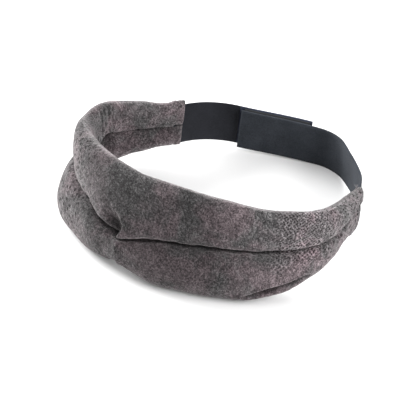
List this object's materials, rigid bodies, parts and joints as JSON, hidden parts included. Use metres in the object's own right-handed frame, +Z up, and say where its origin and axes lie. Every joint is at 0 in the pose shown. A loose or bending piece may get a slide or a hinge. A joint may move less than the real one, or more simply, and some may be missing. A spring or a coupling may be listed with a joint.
{
  "type": "eye massager mask",
  "caption": "Wrap-around padded plush eye mask with stacked brow and cheek rolls, vibration pods inside and a wide elastic head strap that closes at the back.",
  "frame": {"origin": "bottom centre of the bounding box of the mask standing on its cheek rolls and the back of its strap", "axes": "+X to the wearer's left, across the face; +Y from the nose to the back of the head; +Z up"},
  "size_m": [0.2361, 0.2185, 0.0779],
  "materials": {
    "plush": "crushed velour pile, dark mottled grey",
    "plush_seam": "pinched velour with lockstitch",
    "foam": "open-cell memory foam, not seen",
    "webbing": "flat brushed elastic, charcoal",
    "webbing_blue": "flat brushed elastic, charcoal with a cool cast",
    "hook_tape": "moulded hooks",
    "loop_tape": "brushed loops",
    "thread": "polyester lockstitch",
    "shell": "fine spark-eroded ABS",
    "motor_can": "drawn steel can",
    "steel": "ground",
    "weight_metal": "sintered heavy metal",
    "lead_rubber": "flexible two-core lead",
    "cell_wrap": "shrink sleeve",
    "board": "solder-masked laminate",
    "switch": "moulded",
    "button": "soft-touch silicone"
  },
  "bodies": {
    "mask_right": {"right_brow_cover": "plush", "right_brow_foam": "foam", "right_cheek_cover": "plush", "right_cheek_foam": "foam", "right_crease_seam": "plush_seam", "right_end_binding": "plush", "right_strap_anchor": "webbing", "right_box_stitch": "thread", "right_pod_base": "shell", "right_pod_lid": "shell", "right_motor": "motor_can", "nose_bridge": "plush", "nose_lead_right": "lead_rubber", "right_lead": "lead_rubber", "module_base": "shell", "module_lid": "shell", "battery_cell": "cell_wrap", "circuit_board": "board", "tact_switch": "switch", "charge_socket": "steel"},
    "right_spinner": {"right_motor_shaft": "steel", "right_eccentric_weight": "weight_metal"},
    "module_button": {"power_button": "button"},
    "mask_left": {"left_brow_cover": "plush", "left_brow_foam": "foam", "left_cheek_cover": "plush", "left_cheek_foam": "foam", "left_crease_seam": "plush_seam", "left_end_binding": "plush", "left_strap_anchor": "webbing", "left_box_stitch": "thread", "left_pod_base": "shell", "left_pod_lid": "shell", "left_motor": "motor_can", "nose_lead_left": "lead_rubber"},
    "left_spinner": {"left_motor_shaft": "steel", "left_eccentric_weight": "weight_metal"},
    "outer_strap": {"left_strap": "webbing"},
    "closure": {"closure_tab": "webbing", "loop_patch": "loop_tape"},
    "inner_strap": {"right_strap": "webbing_blue", "hook_patch": "hook_tape"}
  },
  "joints": [
    {"name": "nose_fold", "type": "hinge", "parent": "mask_right", "child": "mask_left", "pos_m": [-0.0122, -0.10224, 0.06171], "axis": [-0.0175, 0.207, 0.9782], "range_deg": [0, 35]},
    {"name": "outer_strap_swing", "type": "hinge", "parent": "mask_left", "child": "outer_strap", "pos_m": [-0.07524, 0.03537, 0.03146], "axis": [-0.0175, 0.207, 0.9782], "range_deg": [0, 60]},
    {"name": "closure_peel", "type": "hinge", "parent": "outer_strap", "child": "closure", "pos_m": [-0.0442, 0.07607, 0.0234], "axis": [-0.0175, 0.207, 0.9782], "range_deg": [0, 110]},
    {"name": "inner_strap_swing", "type": "hinge", "parent": "mask_right", "child": "inner_strap", "pos_m": [0.10263, 0.04635, 0.03231], "axis": [-0.0175, 0.207, 0.9782], "range_deg": [0, 35]},
    {"name": "button_press", "type": "slide", "parent": "mask_right", "child": "module_button", "axis": [-0.5482, 0.8131, -0.1956], "range_m": [0, 0.0008], "stiffness_N_per_m": 1500},
    {"name": "right_weight_spin", "type": "hinge", "parent": "mask_right", "child": "right_spinner", "pos_m": [0.02658, -0.07176, 0.0592], "axis": [0.8961, 0.4431, -0.0268], "continuous": true},
    {"name": "left_weight_spin", "type": "hinge", "parent": "mask_left", "child": "left_spinner", "pos_m": [-0.0505, -0.08036, 0.05964], "axis": [0.9849, -0.1733, 0.0021], "continuous": true}
  ]
}
